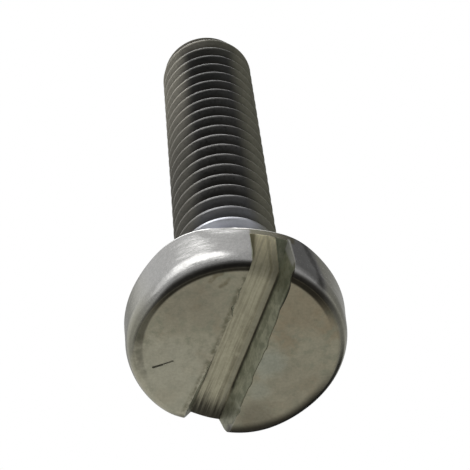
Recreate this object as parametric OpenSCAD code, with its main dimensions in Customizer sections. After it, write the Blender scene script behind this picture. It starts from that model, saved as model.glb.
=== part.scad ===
// Slotted pan head machine screw, one solid piece of zinc-plated steel.
// On its side it would roll, so it stands on the flat top of its head with the point up.
// The flat top is on the table at z = 0, and the screw's axis is the Z axis.

/* [Shank and thread] */
// Outside diameter over the thread crests
major_d = 6.35; // [5.6:0.05:7.4]
// Length from the bearing face to the end of the point
shank_l = 31.75; // [20:0.25:40]
// Distance from one thread crest to the next
pitch = 1.27; // [1:0.01:1.5]
// Turn of the thread about the screw's axis, in degrees
thread_turn = 200; // [0:5:355]
// Length of the plain neck under the head
neck_l = 1.4; // [0.8:0.1:4]
// Length of the chamfer that the point is turned to
point_l = 0.9; // [0.4:0.05:1.2]
// Diameter of the flat end of the point
point_d = 4.5; // [2:0.05:4.8]
// Radius of the fillet between the neck and the bearing face
neck_fillet_r = 0.45; // [0.2:0.05:0.6]

/* [Head] */
// Largest diameter of the head
head_d = 12.7; // [11:0.05:15]
// Height of the head from the bearing face to the flat top
head_h = 2.8; // [2.6:0.05:4]
// Angle that the side of the head leans in towards the top, in degrees
head_draft = 5; // [0:0.5:8]
// Radius of the rounded edge round the flat top
top_edge_r = 0.75; // [0.3:0.05:1]
// Width of the bevel round the bearing face
rim_bevel = 0.15; // [0.05:0.05:0.3]

/* [Driver slot] */
// Width of the slot at its mouth
slot_mouth_w = 2.65; // [2:0.05:3]
// Width of the slot across its floor
slot_floor_w = 1.75; // [1:0.05:2]
// Depth of the slot under the flat top
slot_depth = 1.6; // [0.8:0.05:1.8]
// Turn of the slot about the screw's axis, in degrees
slot_turn = 19; // [0:1:180]
// Distance of the slot's centre line from the screw's axis
slot_off_centre = 0.15; // [0:0.05:0.4]

/* [Hidden] */
$fn = 96;
steel = "#7f7b6b";

major_r = major_d / 2;
head_r = head_d / 2;
point_r = point_d / 2;

// Unified thread form: 60 degree flanks, flat crests and narrow root flats
flank_angle = 30;
thread_depth = 0.6134 * pitch;
crest_half = pitch / 16;
root_half = pitch / 2 - crest_half - thread_depth * tan(flank_angle);
minor_r = major_r - thread_depth;
neck_r = major_r - 0.3248 * pitch;
turn_steps = 32;

// How far the shank reaches into the head, and a little more than a touch
root_in_head = 0.5;
skin = 0.1;

// Sharp corner of the top and the centre of the edge that rounds it, as radius and height
top_corner = [head_r - (head_h - rim_bevel) * tan(head_draft), -head_h];
top_centre = top_corner + top_edge_r * [-tan(45 - head_draft / 2), 1];

// Where the last full crest ends and the point's chamfer starts
last_crest_z = shank_l - point_l;

// Four lines of the thread run side by side up the shank: two bound the crest, two the root
line_z = [-crest_half, crest_half, pitch / 2 - root_half, pitch / 2 + root_half];
line_r = [major_r, major_r, minor_r, minor_r];
thread_from = -root_in_head - pitch;
thread_turns = ceil((shank_l - thread_from) / pitch) + 1;
last_line = 4 * thread_turns;

function thread_point(line, step) =
    let (turn = step * 360 / turn_steps,
         z = thread_from + pitch * (floor(line / 4) + step / turn_steps) + line_z[line % 4])
    [line_r[line % 4] * cos(turn), line_r[line % 4] * sin(turn), z];

// Number of a point: whole turns first, then the first points of the next turn
function point_number(line, step) =
    step == turn_steps ? point_number(line + 4, 0)
    : line > last_line ? (last_line + 1) * turn_steps + line - last_line - 1
    : line * turn_steps + step;

// The loop that ends the thread: one turn of a line and the step back across the thread
function end_loop(line) =
    concat([for (step = [0 : turn_steps - 1]) point_number(line, step)],
           [for (back = [4 : -1 : 1]) point_number(line + back, 0)]);

function end_fan(loop, centre, flip) =
    [for (i = [0 : len(loop) - 1])
        let (a = loop[i], b = loop[(i + 1) % len(loop)])
        flip ? [centre, a, b] : [centre, b, a]];

// A rod with the thread all the way, longer than the shank at both ends
module thread_rod() {
    points = concat(
        [for (line = [0 : last_line], step = [0 : turn_steps - 1]) thread_point(line, step)],
        [for (line = [last_line + 1 : last_line + 4]) thread_point(line, 0)],
        [[0, 0, thread_from + pitch / 2], [0, 0, thread_from + pitch * (thread_turns + 0.5)]]);
    low_centre = (last_line + 1) * turn_steps + 4;
    sides = [for (line = [0 : last_line - 1], step = [0 : turn_steps - 1])
        let (a = point_number(line, step), b = point_number(line, step + 1),
             c = point_number(line + 1, step + 1), d = point_number(line + 1, step))
        each [[a, c, b], [a, d, c]]];
    polyhedron(points, concat(sides,
        end_fan(end_loop(0), low_centre, true),
        end_fan(end_loop(last_line), low_centre + 1, false)), convexity = 10);
}

// The turned blank that the thread is cut from: it bounds the thread at the neck and point
module thread_blank() {
    outer_r = major_r + skin;
    inner_r = neck_r - skin;
    chamfer_back = skin * point_l / (major_r - point_r);
    rotate_extrude()
        polygon([[0, -root_in_head], [inner_r, -root_in_head], [inner_r, neck_l],
                 [outer_r, neck_l + outer_r - inner_r], [outer_r, last_crest_z - chamfer_back],
                 [point_r, shank_l], [0, shank_l]]);
}

module threaded_shank() {
    intersection() {
        rotate([0, 0, thread_turn])
            thread_rod();
        thread_blank();
    }
}

// Half section of the head. The outline stops where the circle of the top edge touches the
// side and the flat top, and the circle fills the corner between them
module head_outline() {
    side_touch = top_centre + top_edge_r * [cos(head_draft), -sin(head_draft)];
    polygon([[0, -head_h], [top_centre.x, -head_h], top_centre, side_touch,
             [head_r, -rim_bevel], [head_r - rim_bevel, 0], [0, 0]]);
    translate(top_centre)
        circle(top_edge_r);
}

module head() {
    rotate_extrude()
        head_outline();
}

// Plain neck with its fillet up to the bearing face, and a cone that lets the thread out
module neck() {
    rotate_extrude()
        difference() {
            polygon([[0, -root_in_head], [neck_r + neck_fillet_r, -root_in_head],
                     [neck_r + neck_fillet_r, neck_fillet_r], [neck_r, neck_fillet_r],
                     [neck_r, neck_l], [minor_r - skin, neck_l + neck_r - minor_r + skin],
                     [0, neck_l + neck_r - minor_r + skin]]);
            translate([neck_r + neck_fillet_r, neck_fillet_r])
                circle(neck_fillet_r);
        }
}

// Slot with leaning walls, cut right across the head
module driver_slot() {
    reach = head_d;
    rotate([0, 0, slot_turn])
        translate([slot_off_centre, reach / 2, -head_h])
            rotate([90, 0, 0])
                linear_extrude(reach)
                    polygon([[-slot_floor_w / 2, slot_depth], [slot_floor_w / 2, slot_depth],
                             [slot_mouth_w / 2, 0], [slot_mouth_w / 2, -skin],
                             [-slot_mouth_w / 2, -skin], [-slot_mouth_w / 2, 0]]);
}

// The pieces are drawn from the bearing face at z = 0, and the screw is lifted by its head
module machine_screw() {
    color(steel)
        translate([0, 0, head_h])
            difference() {
                union() {
                    head();
                    neck();
                    threaded_shank();
                }
                driver_slot();
            }
}

machine_screw();
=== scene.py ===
"""Dresses a slotted pan head machine screw that stands on its head, in the row frame.

The screw is turned, threaded and slotted from Blender's own tools in millimetres, brought to
metres, and given a worn zinc plate. The camera looks up at the head, as the photograph does.
"""
import logging
import math
from dataclasses import dataclass, field
from enum import Enum

import bmesh
import bpy
from mathutils import Matrix, Vector, noise


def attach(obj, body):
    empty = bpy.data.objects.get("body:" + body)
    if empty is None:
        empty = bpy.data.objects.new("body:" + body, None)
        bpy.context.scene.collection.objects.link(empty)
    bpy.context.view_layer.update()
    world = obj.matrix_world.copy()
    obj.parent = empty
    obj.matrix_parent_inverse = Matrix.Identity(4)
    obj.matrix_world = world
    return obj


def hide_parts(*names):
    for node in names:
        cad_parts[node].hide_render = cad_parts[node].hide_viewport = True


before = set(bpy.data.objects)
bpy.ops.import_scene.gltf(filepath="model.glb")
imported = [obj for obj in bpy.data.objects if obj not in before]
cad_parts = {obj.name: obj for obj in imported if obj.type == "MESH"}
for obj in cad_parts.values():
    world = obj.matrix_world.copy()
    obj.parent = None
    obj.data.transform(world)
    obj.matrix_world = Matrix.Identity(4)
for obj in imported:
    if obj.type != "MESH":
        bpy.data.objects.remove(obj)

LOG = logging.getLogger("machine_screw")
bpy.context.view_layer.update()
MM = 0.001
Point = tuple[float, float]
NODE = "machine_screw"
BODY = "root"


# Modelling


class Cut(Enum):
    """What a boolean tool does to the piece."""

    AWAY = "DIFFERENCE"
    JOIN = "UNION"
    KEEP = "INTERSECT"


def only(piece: bpy.types.Object) -> None:
    """Makes one piece the active and only selected one.

    Args:
        piece: The piece to work on.
    """
    bpy.ops.object.select_all(action="DESELECT")
    piece.select_set(True)
    bpy.context.view_layer.objects.active = piece


def take_name(name: str) -> bpy.types.Object:
    """Names the object that an operator has just added.

    Args:
        name: The object's new name.

    Returns:
        The named object.
    """
    piece = bpy.context.active_object
    piece.name = name
    piece.data.name = name
    return piece


def apply_all(piece: bpy.types.Object) -> None:
    """Applies every modifier of a piece, in order.

    Args:
        piece: The piece that carries the modifiers.
    """
    only(piece)
    for modifier in list(piece.modifiers):
        bpy.ops.object.modifier_apply(modifier=modifier.name)


def cut(piece: bpy.types.Object, tool: bpy.types.Object, how: Cut) -> None:
    """Cuts, joins or bounds a piece with a tool, and throws the tool away.

    Args:
        piece: The piece that changes.
        tool: The closed mesh that changes it.
        how: What the tool does.
    """
    boolean = piece.modifiers.new("cut", "BOOLEAN")
    boolean.operation = how.value
    boolean.solver = "MANIFOLD"
    boolean.object = tool
    apply_all(piece)
    bpy.data.objects.remove(tool, do_unlink=True)


def turn(name: str, outline: list[Point], segments: int) -> bpy.types.Object:
    """Turns a closed solid from rings, as on a lathe, by extruding one ring from the last.

    Args:
        name: The solid's name.
        outline: Radius and height of each ring, from the bottom up.
        segments: How many sides each ring has.

    Returns:
        The turned solid.
    """
    (radius, height), *rest = outline
    bpy.ops.object.select_all(action="DESELECT")
    bpy.ops.mesh.primitive_circle_add(vertices=segments, radius=radius, fill_type="NGON",
                                      location=(0, 0, height))
    piece = take_name(name)
    bpy.ops.object.transform_apply(location=True, rotation=True, scale=True)
    bpy.ops.object.mode_set(mode="EDIT")
    bpy.ops.mesh.select_mode(type="FACE")
    bpy.ops.mesh.select_all(action="SELECT")
    for next_radius, next_height in rest:
        bpy.ops.mesh.extrude_region_move(TRANSFORM_OT_translate={"value": (0, 0, next_height - height)})
        ratio = next_radius / radius
        bpy.ops.transform.resize(value=(ratio, ratio, 1), center_override=(0, 0, next_height))
        radius, height = next_radius, next_height
    bpy.ops.mesh.select_all(action="SELECT")
    bpy.ops.mesh.normals_make_consistent(inside=False)
    bpy.ops.object.mode_set(mode="OBJECT")
    return piece


def arc(centre: Point, radius: float, start: float, end: float, steps: int) -> list[Point]:
    """Works out the points of an arc in the half section.

    Args:
        centre: Radius and height of the arc's centre.
        radius: The arc's own radius.
        start: Its first angle in degrees, 0 outwards and 90 up.
        end: Its last angle in degrees.
        steps: How many straight steps it takes.

    Returns:
        Radius and height of each point, both ends included.
    """
    angles = [math.radians(start + (end - start) * i / steps) for i in range(steps + 1)]
    return [(centre[0] + radius * math.cos(a), centre[1] + radius * math.sin(a)) for a in angles]


@dataclass(frozen=True)
class Bulge:
    """A side on which the head is wider than a circle, or narrower: degrees, and millimetres of growth."""

    azimuth: float
    width: float
    growth: float

    def at(self, azimuth: float) -> float:
        """Gives the growth of the radius at an azimuth, where 0 is the front and 90 the right."""
        away = (azimuth - self.azimuth + 180) % 360 - 180
        return self.growth * math.exp(-((away / self.width) ** 2))


@dataclass
class Head:
    """The pan head, measured from the bearing face downwards, in millimetres."""

    diameter: float = 12.7
    height: float = 2.8
    draft: float = 5.0
    edge_radius: float = 0.65
    edge_turn: float = 60.0
    shoulder_radius: float = 1.40
    flat_radius: float = 5.43
    rim_round: float = 0.34
    segments: int = 200
    edge_steps: int = 12
    side_steps: int = 6
    box: float = 6.345
    edge_fall: float = 1.2
    edge_bulges: tuple[Bulge, ...] = (
        Bulge(-18, 38, -0.15),
        Bulge(92, 38, 0.16),
        Bulge(135, 30, 0.08),
        Bulge(172, 26, 0.34),
        Bulge(-154, 10, -0.30),
        Bulge(-86, 22, 0.20),
        Bulge(-122, 26, 0.16),
    )
    rim_bulges: tuple[Bulge, ...] = (
        Bulge(-26, 22, 0.36),
        Bulge(32, 14, 0.14),
    )

    def outline(self) -> list[Point]:
        """Gives the half section from the flat top at z = 0 to the bearing face.

        Returns:
            Radius and height of each ring.
        """
        joint = self.edge_turn - 90
        edge = arc((self.flat_radius, self.edge_radius), self.edge_radius, -90, joint, self.edge_steps)
        turned = math.radians(self.edge_turn)
        centre = (edge[-1][0] - self.shoulder_radius * math.sin(turned),
                  edge[-1][1] + self.shoulder_radius * math.cos(turned))
        shoulder = arc(centre, self.shoulder_radius, joint, -self.draft, self.edge_steps)
        rim_centre = (self.diameter / 2 - self.rim_round, self.height - self.rim_round)
        rim = arc(rim_centre, self.rim_round, 0, 90, self.side_steps)
        (r0, z0), (r1, z1) = shoulder[-1], rim[0]
        shares = [i / self.side_steps for i in range(1, self.side_steps)]
        side = [(r0 + (r1 - r0) * share, z0 + (z1 - z0) * share) for share in shares]
        return edge + shoulder[1:] + side + rim

    def build(self) -> bpy.types.Object:
        """Turns the head and gives it the uneven outline of a headed blank.

        Returns:
            The closed head, without its slot.
        """
        head = turn("slotted_screw", self.outline(), self.segments)
        only(head)
        bpy.ops.object.mode_set(mode="EDIT")
        mesh = bmesh.from_edit_mesh(head.data)
        for vert in mesh.verts:
            radius = math.hypot(*vert.co.xy)
            azimuth = math.degrees(math.atan2(vert.co.x, -vert.co.y))
            up = min(1.0, vert.co.z / (self.height - self.rim_round))
            grown = radius + sum(bulge.at(azimuth) for bulge in self.edge_bulges) * (1 - up) ** self.edge_fall
            grown += sum(bulge.at(azimuth) for bulge in self.rim_bulges) * up
            limit = self.box / max(abs(vert.co.x), abs(vert.co.y)) * radius
            grown = min(grown, limit)
            vert.co.x *= grown / radius
            vert.co.y *= grown / radius
        bmesh.update_edit_mesh(head.data)
        bpy.ops.object.mode_set(mode="OBJECT")
        return head


@dataclass
class Thread:
    """The threaded shank with its neck and point, heights from the bearing face, in millimetres."""

    diameter: float = 6.35
    pitch: float = 1.27
    turn_deg: float = 200.0
    length: float = 31.75
    neck_length: float = 1.4
    neck_fillet: float = 0.45
    point_length: float = 0.9
    point_diameter: float = 4.9
    into_head: float = 0.5
    head_height: float = 2.8
    steps: int = 72
    groove_depth: float = 0.6134
    pitch_depth: float = 0.3248
    flank_deg: float = 30.0
    crest_half: float = 0.079
    crest_round: float = 0.12
    root_round: float = 0.10
    wound_below: float = 2.5
    cut_below: float = 1.0
    cut_above: float = 0.6
    spare_turns: int = 2
    skin: float = 0.1
    run_out: float = 1.2
    end_round: float = 0.12
    sides: int = 96

    @property
    def radius(self) -> float:
        """Radius over the crests."""
        return self.diameter / 2

    @property
    def root_radius(self) -> float:
        """Radius at the bottom of the groove."""
        return self.radius - self.groove_depth * self.pitch

    @property
    def neck_radius(self) -> float:
        """Radius of the plain neck, as of the rod before the thread was rolled."""
        return self.radius - self.pitch_depth * self.pitch

    def groove_line(self) -> list[Point]:
        """Gives one pitch of the thread's section, from the middle of a root to the next.

        Returns:
            Radius and height of each point.
        """
        half = self.pitch / 2
        run = math.tan(math.radians(self.flank_deg))
        crest_corner = half - self.crest_half
        root_corner = crest_corner - (self.radius - self.root_radius) * run
        root = arc((self.root_radius + self.root_round, root_corner - self.root_round * run),
                   self.root_round, 180, 120, 2)
        crest = arc((self.radius - self.crest_round, crest_corner + self.crest_round * run),
                    self.crest_round, -60, 0, 4)
        middle = ((root[-1][0] + crest[0][0]) / 2, (root[-1][1] + crest[0][1]) / 2)
        rise = [(self.root_radius, 0.0), *root, middle, *crest, (self.radius, half)]
        fall = [(r, self.pitch - z) for r, z in reversed(rise[:-1])]
        return rise + fall

    def rod(self) -> bpy.types.Object:
        """Winds the thread's section into a closed rod, longer than the shank.

        Returns:
            The closed threaded rod.
        """
        line = self.groove_line()
        low = -self.into_head - self.wound_below * self.pitch
        turns = math.ceil((self.length - low) / self.pitch) + self.spare_turns
        low_cut = -self.into_head - self.cut_below * self.pitch
        high_cut = self.length + self.cut_above * self.pitch
        bpy.ops.object.select_all(action="DESELECT")
        bpy.ops.mesh.primitive_plane_add(size=0.01, location=(0, 0, 0))
        rod = take_name("thread_rod")
        bpy.ops.object.mode_set(mode="EDIT")
        bpy.ops.mesh.select_mode(type="VERT")
        bpy.ops.mesh.select_all(action="SELECT")
        bpy.ops.mesh.merge(type="CENTER")
        bpy.ops.transform.translate(value=(line[0][0], 0, low))
        for (r0, z0), (r1, z1) in zip(line, line[1:]):
            bpy.ops.mesh.extrude_vertices_move(TRANSFORM_OT_translate={"value": (r1 - r0, 0, z1 - z0)})
        bpy.ops.object.mode_set(mode="OBJECT")
        winding = rod.modifiers.new("winding", "SCREW")
        winding.axis = "Z"
        winding.screw_offset = self.pitch
        winding.iterations = turns
        winding.steps = winding.render_steps = self.steps
        winding.use_merge_vertices = False
        apply_all(rod)
        bpy.ops.object.mode_set(mode="EDIT")
        bpy.ops.mesh.select_all(action="SELECT")
        bpy.ops.mesh.remove_doubles(threshold=0.001)
        for height, clear_low in ((low_cut, True), (high_cut, False)):
            bpy.ops.mesh.select_all(action="SELECT")
            bpy.ops.mesh.bisect(plane_co=(0, 0, height), plane_no=(0, 0, 1), use_fill=True,
                                clear_inner=clear_low, clear_outer=not clear_low)
        bpy.ops.mesh.select_all(action="SELECT")
        bpy.ops.mesh.normals_make_consistent(inside=False)
        bpy.ops.object.mode_set(mode="OBJECT")
        rod.rotation_euler = (0, 0, math.radians(self.turn_deg))
        bpy.ops.object.transform_apply(location=True, rotation=True, scale=True)
        return rod

    def blank(self) -> bpy.types.Object:
        """Turns the solid that bounds the thread: its run-out at the neck and its chamfered point.

        Returns:
            The closed blank.
        """
        outer, inner = self.radius + self.skin, self.neck_radius - self.skin
        point_r = self.point_diameter / 2
        slope = (self.radius - point_r) / self.point_length
        last = self.length - self.point_length
        round_from = self.end_round * 0.9
        return turn("thread_blank", [
            (inner, -self.into_head),
            (inner, self.neck_length),
            (outer, self.neck_length + (outer - inner) * self.run_out),
            (outer, last - self.skin / slope),
            (point_r + round_from * slope, self.length - round_from),
            (point_r - self.end_round / 6, self.length - self.end_round / 4),
            (point_r - self.end_round, self.length)], self.sides)

    def neck(self) -> bpy.types.Object:
        """Turns the plain neck with its fillet up to the bearing face.

        Returns:
            The closed neck, which reaches into the head and into the thread.
        """
        wide = self.neck_radius + self.neck_fillet
        fillet = arc((wide, self.neck_fillet), self.neck_fillet, 270, 180, 7)
        end = self.root_radius - self.skin
        return turn("neck", [(wide, -self.into_head), *fillet, (self.neck_radius, self.neck_length),
                             (end, self.neck_length + self.neck_radius - end)], self.sides)

    def build(self) -> bpy.types.Object:
        """Bounds the rod by the blank and adds the neck.

        Returns:
            The closed shank, lifted onto the head.
        """
        shank = self.rod()
        cut(shank, self.blank(), Cut.KEEP)
        cut(shank, self.neck(), Cut.JOIN)
        only(shank)
        shank.location = (0, 0, self.head_height)
        bpy.ops.object.transform_apply(location=True, rotation=True, scale=True)
        return shank


@dataclass(frozen=True)
class Chip:
    """A place where a slipped driver has pushed a wall's upper edge, in the slot's axes, in millimetres."""

    left: bool
    along: float
    half_length: float
    push: float

    def at(self, along: float) -> float:
        """Gives the chip's own push across the slot at a place along it."""
        return self.push * math.exp(-(((along - self.along) / self.half_length) ** 2))


@dataclass(frozen=True)
class SlotWear:
    """The slot's section at each place along it: what was cut and what use has done since.

    The walls lean, the mouth is ragged and wider at the back end, and at the front end the floor
    runs down and to the left.
    """

    mouth_width: float = 2.65
    floor_width: float = 1.75
    depth: float = 1.6
    seed: int = 7
    left_inset: float = 0.075
    left_drift: float = -0.07
    drift_from: float = 0.15
    ragged_left: float = 0.045
    ragged_right: float = 0.014
    slow_wave: float = 1.1
    quick_wave: float = 4.2
    quick_share: float = 0.7
    ramp_from: float = -3.8
    ramp_to: float = -6.6
    ramp_deeper: float = 0.52
    ramp_left: float = -0.56
    ramp_right: float = -0.05
    chips: tuple[Chip, ...] = (
        Chip(False, -0.55, 0.34, 0.10),
        Chip(False, -5.30, 0.50, -0.14),
        Chip(False, 0.35, 0.42, 0.05),
        Chip(False, 2.10, 0.30, 0.08),
        Chip(False, 4.20, 0.25, 0.10),
        Chip(False, -3.20, 0.40, -0.06),
        Chip(True, -2.60, 0.22, -0.18),
        Chip(True, -1.90, 0.20, 0.12),
        Chip(True, -3.70, 0.30, -0.08),
        Chip(True, 1.60, 0.25, -0.06),
    )

    @staticmethod
    def step(value: float, start: float, end: float) -> float:
        """Rises smoothly from 0 at the start to 1 at the end."""
        part = min(1.0, max(0.0, (value - start) / (end - start)))
        return part * part * (3 - 2 * part)

    def floor_height(self, along: float) -> float:
        """Gives the height of the floor over the flat top at a place along the slot."""
        return self.depth + self.ramp_deeper * self.step(along, self.ramp_from, self.ramp_to)

    def mouth(self, left: bool, along: float) -> float:
        """Gives the place across the slot of one edge of its mouth.

        Args:
            left: Whether it is the left edge.
            along: The place along the slot.

        Returns:
            The place across, from the slot's middle.
        """
        offset = Vector((self.seed * 3.1, 5.0 * left, 0.0))
        slow = noise.noise(Vector((along * self.slow_wave, 0, 0)) + offset)
        quick = noise.noise(Vector((along * self.quick_wave, 2, 0)) + offset)
        move = (slow + self.quick_share * quick) * (self.ragged_left if left else self.ragged_right)
        if left:
            move += self.left_inset + self.left_drift * max(0.0, along - self.drift_from)
        move += sum(chip.at(along) for chip in self.chips if chip.left == left)
        return move + (-1 if left else 1) * self.mouth_width / 2

    def wall(self, left: bool, along: float, height: float) -> float:
        """Gives the place across the slot of one wall at a height.

        Args:
            left: Whether it is the left wall.
            along: The place along the slot.
            height: The height over the flat top.

        Returns:
            The place across, from the slot's middle.
        """
        foot = (-1 if left else 1) * self.floor_width / 2
        foot += (self.ramp_left if left else self.ramp_right) * self.step(along, self.ramp_from, self.ramp_to)
        edge = self.mouth(left, along)
        return edge + (foot - edge) * height / self.floor_height(along)


@dataclass
class DriverSlot:
    """The milled slot, in millimetres, cut up from the flat top at z = 0."""

    wear: SlotWear = field(default_factory=SlotWear)
    turn_deg: float = 19.0
    off_centre: float = 0.15
    edge_break: float = 0.055
    end_break: float = 0.15
    stations: int = 150
    reach: float = 14.0
    below_top: float = 0.1
    sharp_from: float = 0.5
    clear_of_floor: float = 0.22
    worn_end: Point = (-4.0, 0.35)

    def frame_matrix(self) -> Matrix:
        """Gives the turn and shift from the slot's own axes, along Y, to the screw's."""
        turned = Matrix.Rotation(math.radians(self.turn_deg), 4, "Z")
        return turned @ Matrix.Translation((self.off_centre, 0, 0))

    def cutter(self) -> bpy.types.Object:
        """Makes the cutter from a long box, cut into stations and shaped at each.

        Returns:
            The closed cutter.
        """
        depth, below = self.wear.depth, self.below_top
        bpy.ops.object.select_all(action="DESELECT")
        bpy.ops.mesh.primitive_cube_add(size=1, location=(0, 0, (depth - below) / 2),
                                        scale=(self.wear.floor_width, self.reach, depth + below))
        tool = take_name("slot_cutter")
        bpy.ops.object.transform_apply(location=True, rotation=True, scale=True)
        bpy.ops.object.mode_set(mode="EDIT")
        for i in range(1, self.stations):
            bpy.ops.mesh.select_all(action="SELECT")
            y = -self.reach / 2 + self.reach * i / self.stations
            bpy.ops.mesh.bisect(plane_co=(0, y, 0), plane_no=(0, 1, 0))
        mesh = bmesh.from_edit_mesh(tool.data)
        for vert in mesh.verts:
            if vert.co.z > 0:
                vert.co.z = self.wear.floor_height(vert.co.y)
            vert.co.x = self.wear.wall(vert.co.x < 0, vert.co.y, vert.co.z)
        bmesh.update_edit_mesh(tool.data)
        bpy.ops.mesh.select_all(action="SELECT")
        bpy.ops.mesh.normals_make_consistent(inside=False)
        bpy.ops.object.mode_set(mode="OBJECT")
        tool.matrix_world = self.frame_matrix()
        only(tool)
        bpy.ops.object.transform_apply(location=True, rotation=True, scale=True)
        return tool

    def break_edges(self, head: bpy.types.Object, worn_end: bool) -> None:
        """Breaks the slot's sharp mouth, along the flat top and round the side of the head.

        Args:
            head: The slotted head.
            worn_end: Whether to break only the right wall's front end, which is worn more.
        """
        offset, segments = (self.end_break, 3) if worn_end else (self.edge_break, 2)
        to_slot = self.frame_matrix().inverted()
        only(head)
        bpy.ops.object.mode_set(mode="EDIT")
        bpy.ops.mesh.select_mode(type="EDGE")
        bpy.ops.mesh.select_all(action="DESELECT")
        mesh = bmesh.from_edit_mesh(head.data)
        for edge in mesh.edges:
            ends = [to_slot @ vert.co for vert in edge.verts]
            sharp = len(edge.link_faces) == 2 and edge.calc_face_angle(0) > self.sharp_from
            on_mouth = all(self.on_mouth(end) for end in ends)
            edge.select = sharp and on_mouth and (not worn_end or all(self.at_worn_end(end) for end in ends))
        chosen = sum(edge.select for edge in mesh.edges)
        bmesh.update_edit_mesh(head.data)
        LOG.info("slot mouth: %d edges broken", chosen)
        bpy.ops.mesh.bevel(offset=offset, offset_type="OFFSET", segments=segments, profile=0.5,
                           clamp_overlap=True)
        bpy.ops.object.mode_set(mode="OBJECT")

    def at_worn_end(self, point: Vector) -> bool:
        """Says whether a point in the slot's axes is at the right wall's front end, off the flat top."""
        along, height = self.worn_end
        return point.x > 0 and point.y < along and point.z > height

    def on_mouth(self, point: Vector, near: float = 0.012) -> bool:
        """Says whether a point of the slotted head, in the slot's axes, lies on a wall above the floor.

        Args:
            point: The point in the slot's own axes.
            near: How far from the wall it may be.

        Returns:
            Whether it does.
        """
        wall = self.wear.wall(point.x < 0, point.y, point.z)
        return abs(point.x - wall) < near and point.z < self.wear.floor_height(point.y) - self.clear_of_floor


# Finishes


Fade = tuple[float, float]
Tone = tuple[float, float, float]
WHITE: Tone = (1.0, 1.0, 1.0)
# Nearly black: the colour of grime, the scratch and the specks, and of the painted shade and painted dark
# reflection round the head's edges.
GRIME_AND_SHADE: Tone = (0.016, 0.014, 0.010)
# Dark olive: the painted shadow of the left wall on the floor, the floor's dark lip and the dark line on the
# slot's left edge.
SHADE: Tone = (0.120, 0.112, 0.070)


class Value:
    """A socket of a shader graph, on which Python's operators add Math nodes."""

    def __init__(self, graph: "Graph", socket: bpy.types.NodeSocket) -> None:
        """Keeps the graph and the socket.

        Args:
            graph: The graph that the socket belongs to.
            socket: The output socket.
        """
        self.graph = graph
        self.socket = socket

    def _math(self, operation: str, *others: "Value | float", swap: bool = False,
              clamp: bool = False) -> "Value":
        """Adds one Math node.

        Args:
            operation: The node's operation.
            others: The other operands.
            swap: Puts the first other operand before this value.
            clamp: Keeps the result between 0 and 1.

        Returns:
            The node's result.
        """
        operands = [self, *others]
        if swap:
            operands[0], operands[1] = operands[1], operands[0]
        return self.graph.node("ShaderNodeMath", {"operation": operation, "use_clamp": clamp},
                               dict(enumerate(operands)))

    def __add__(self, other: "Value | float") -> "Value":
        """Adds."""
        return self._math("ADD", other)

    __radd__ = __add__

    def __sub__(self, other: "Value | float") -> "Value":
        """Subtracts."""
        return self._math("SUBTRACT", other)

    def __rsub__(self, other: "Value | float") -> "Value":
        """Subtracts this value from a number."""
        return self._math("SUBTRACT", other, swap=True)

    def __mul__(self, other: "Value | float") -> "Value":
        """Multiplies."""
        return self._math("MULTIPLY", other)

    __rmul__ = __mul__

    def __truediv__(self, other: "Value | float") -> "Value":
        """Divides."""
        return self._math("DIVIDE", other)

    def __pow__(self, other: "Value | float") -> "Value":
        """Raises to a power."""
        return self._math("POWER", other)

    def __abs__(self) -> "Value":
        """Drops the sign."""
        return self._math("ABSOLUTE")

    def clamp(self) -> "Value":
        """Keeps the value between 0 and 1."""
        return self._math("ADD", 0.0, clamp=True)

    def least(self, other: "Value | float") -> "Value":
        """Takes the smaller of two values."""
        return self._math("MINIMUM", other)

    def most(self, other: "Value | float") -> "Value":
        """Takes the larger of two values."""
        return self._math("MAXIMUM", other)

    def rise(self, low: float, high: float) -> "Value":
        """Rises smoothly from 0 to 1 between two values, or falls if they are swapped.

        Args:
            low: Where the result is 0.
            high: Where the result is 1.

        Returns:
            The smooth step.
        """
        start, end, first, last = (low, high, 0.0, 1.0) if low < high else (high, low, 1.0, 0.0)
        limits = {"From Min": start, "From Max": end, "To Min": first, "To Max": last}
        return self.graph.node("ShaderNodeMapRange", {"interpolation_type": "SMOOTHSTEP"},
                               {"Value": self, **limits})


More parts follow.
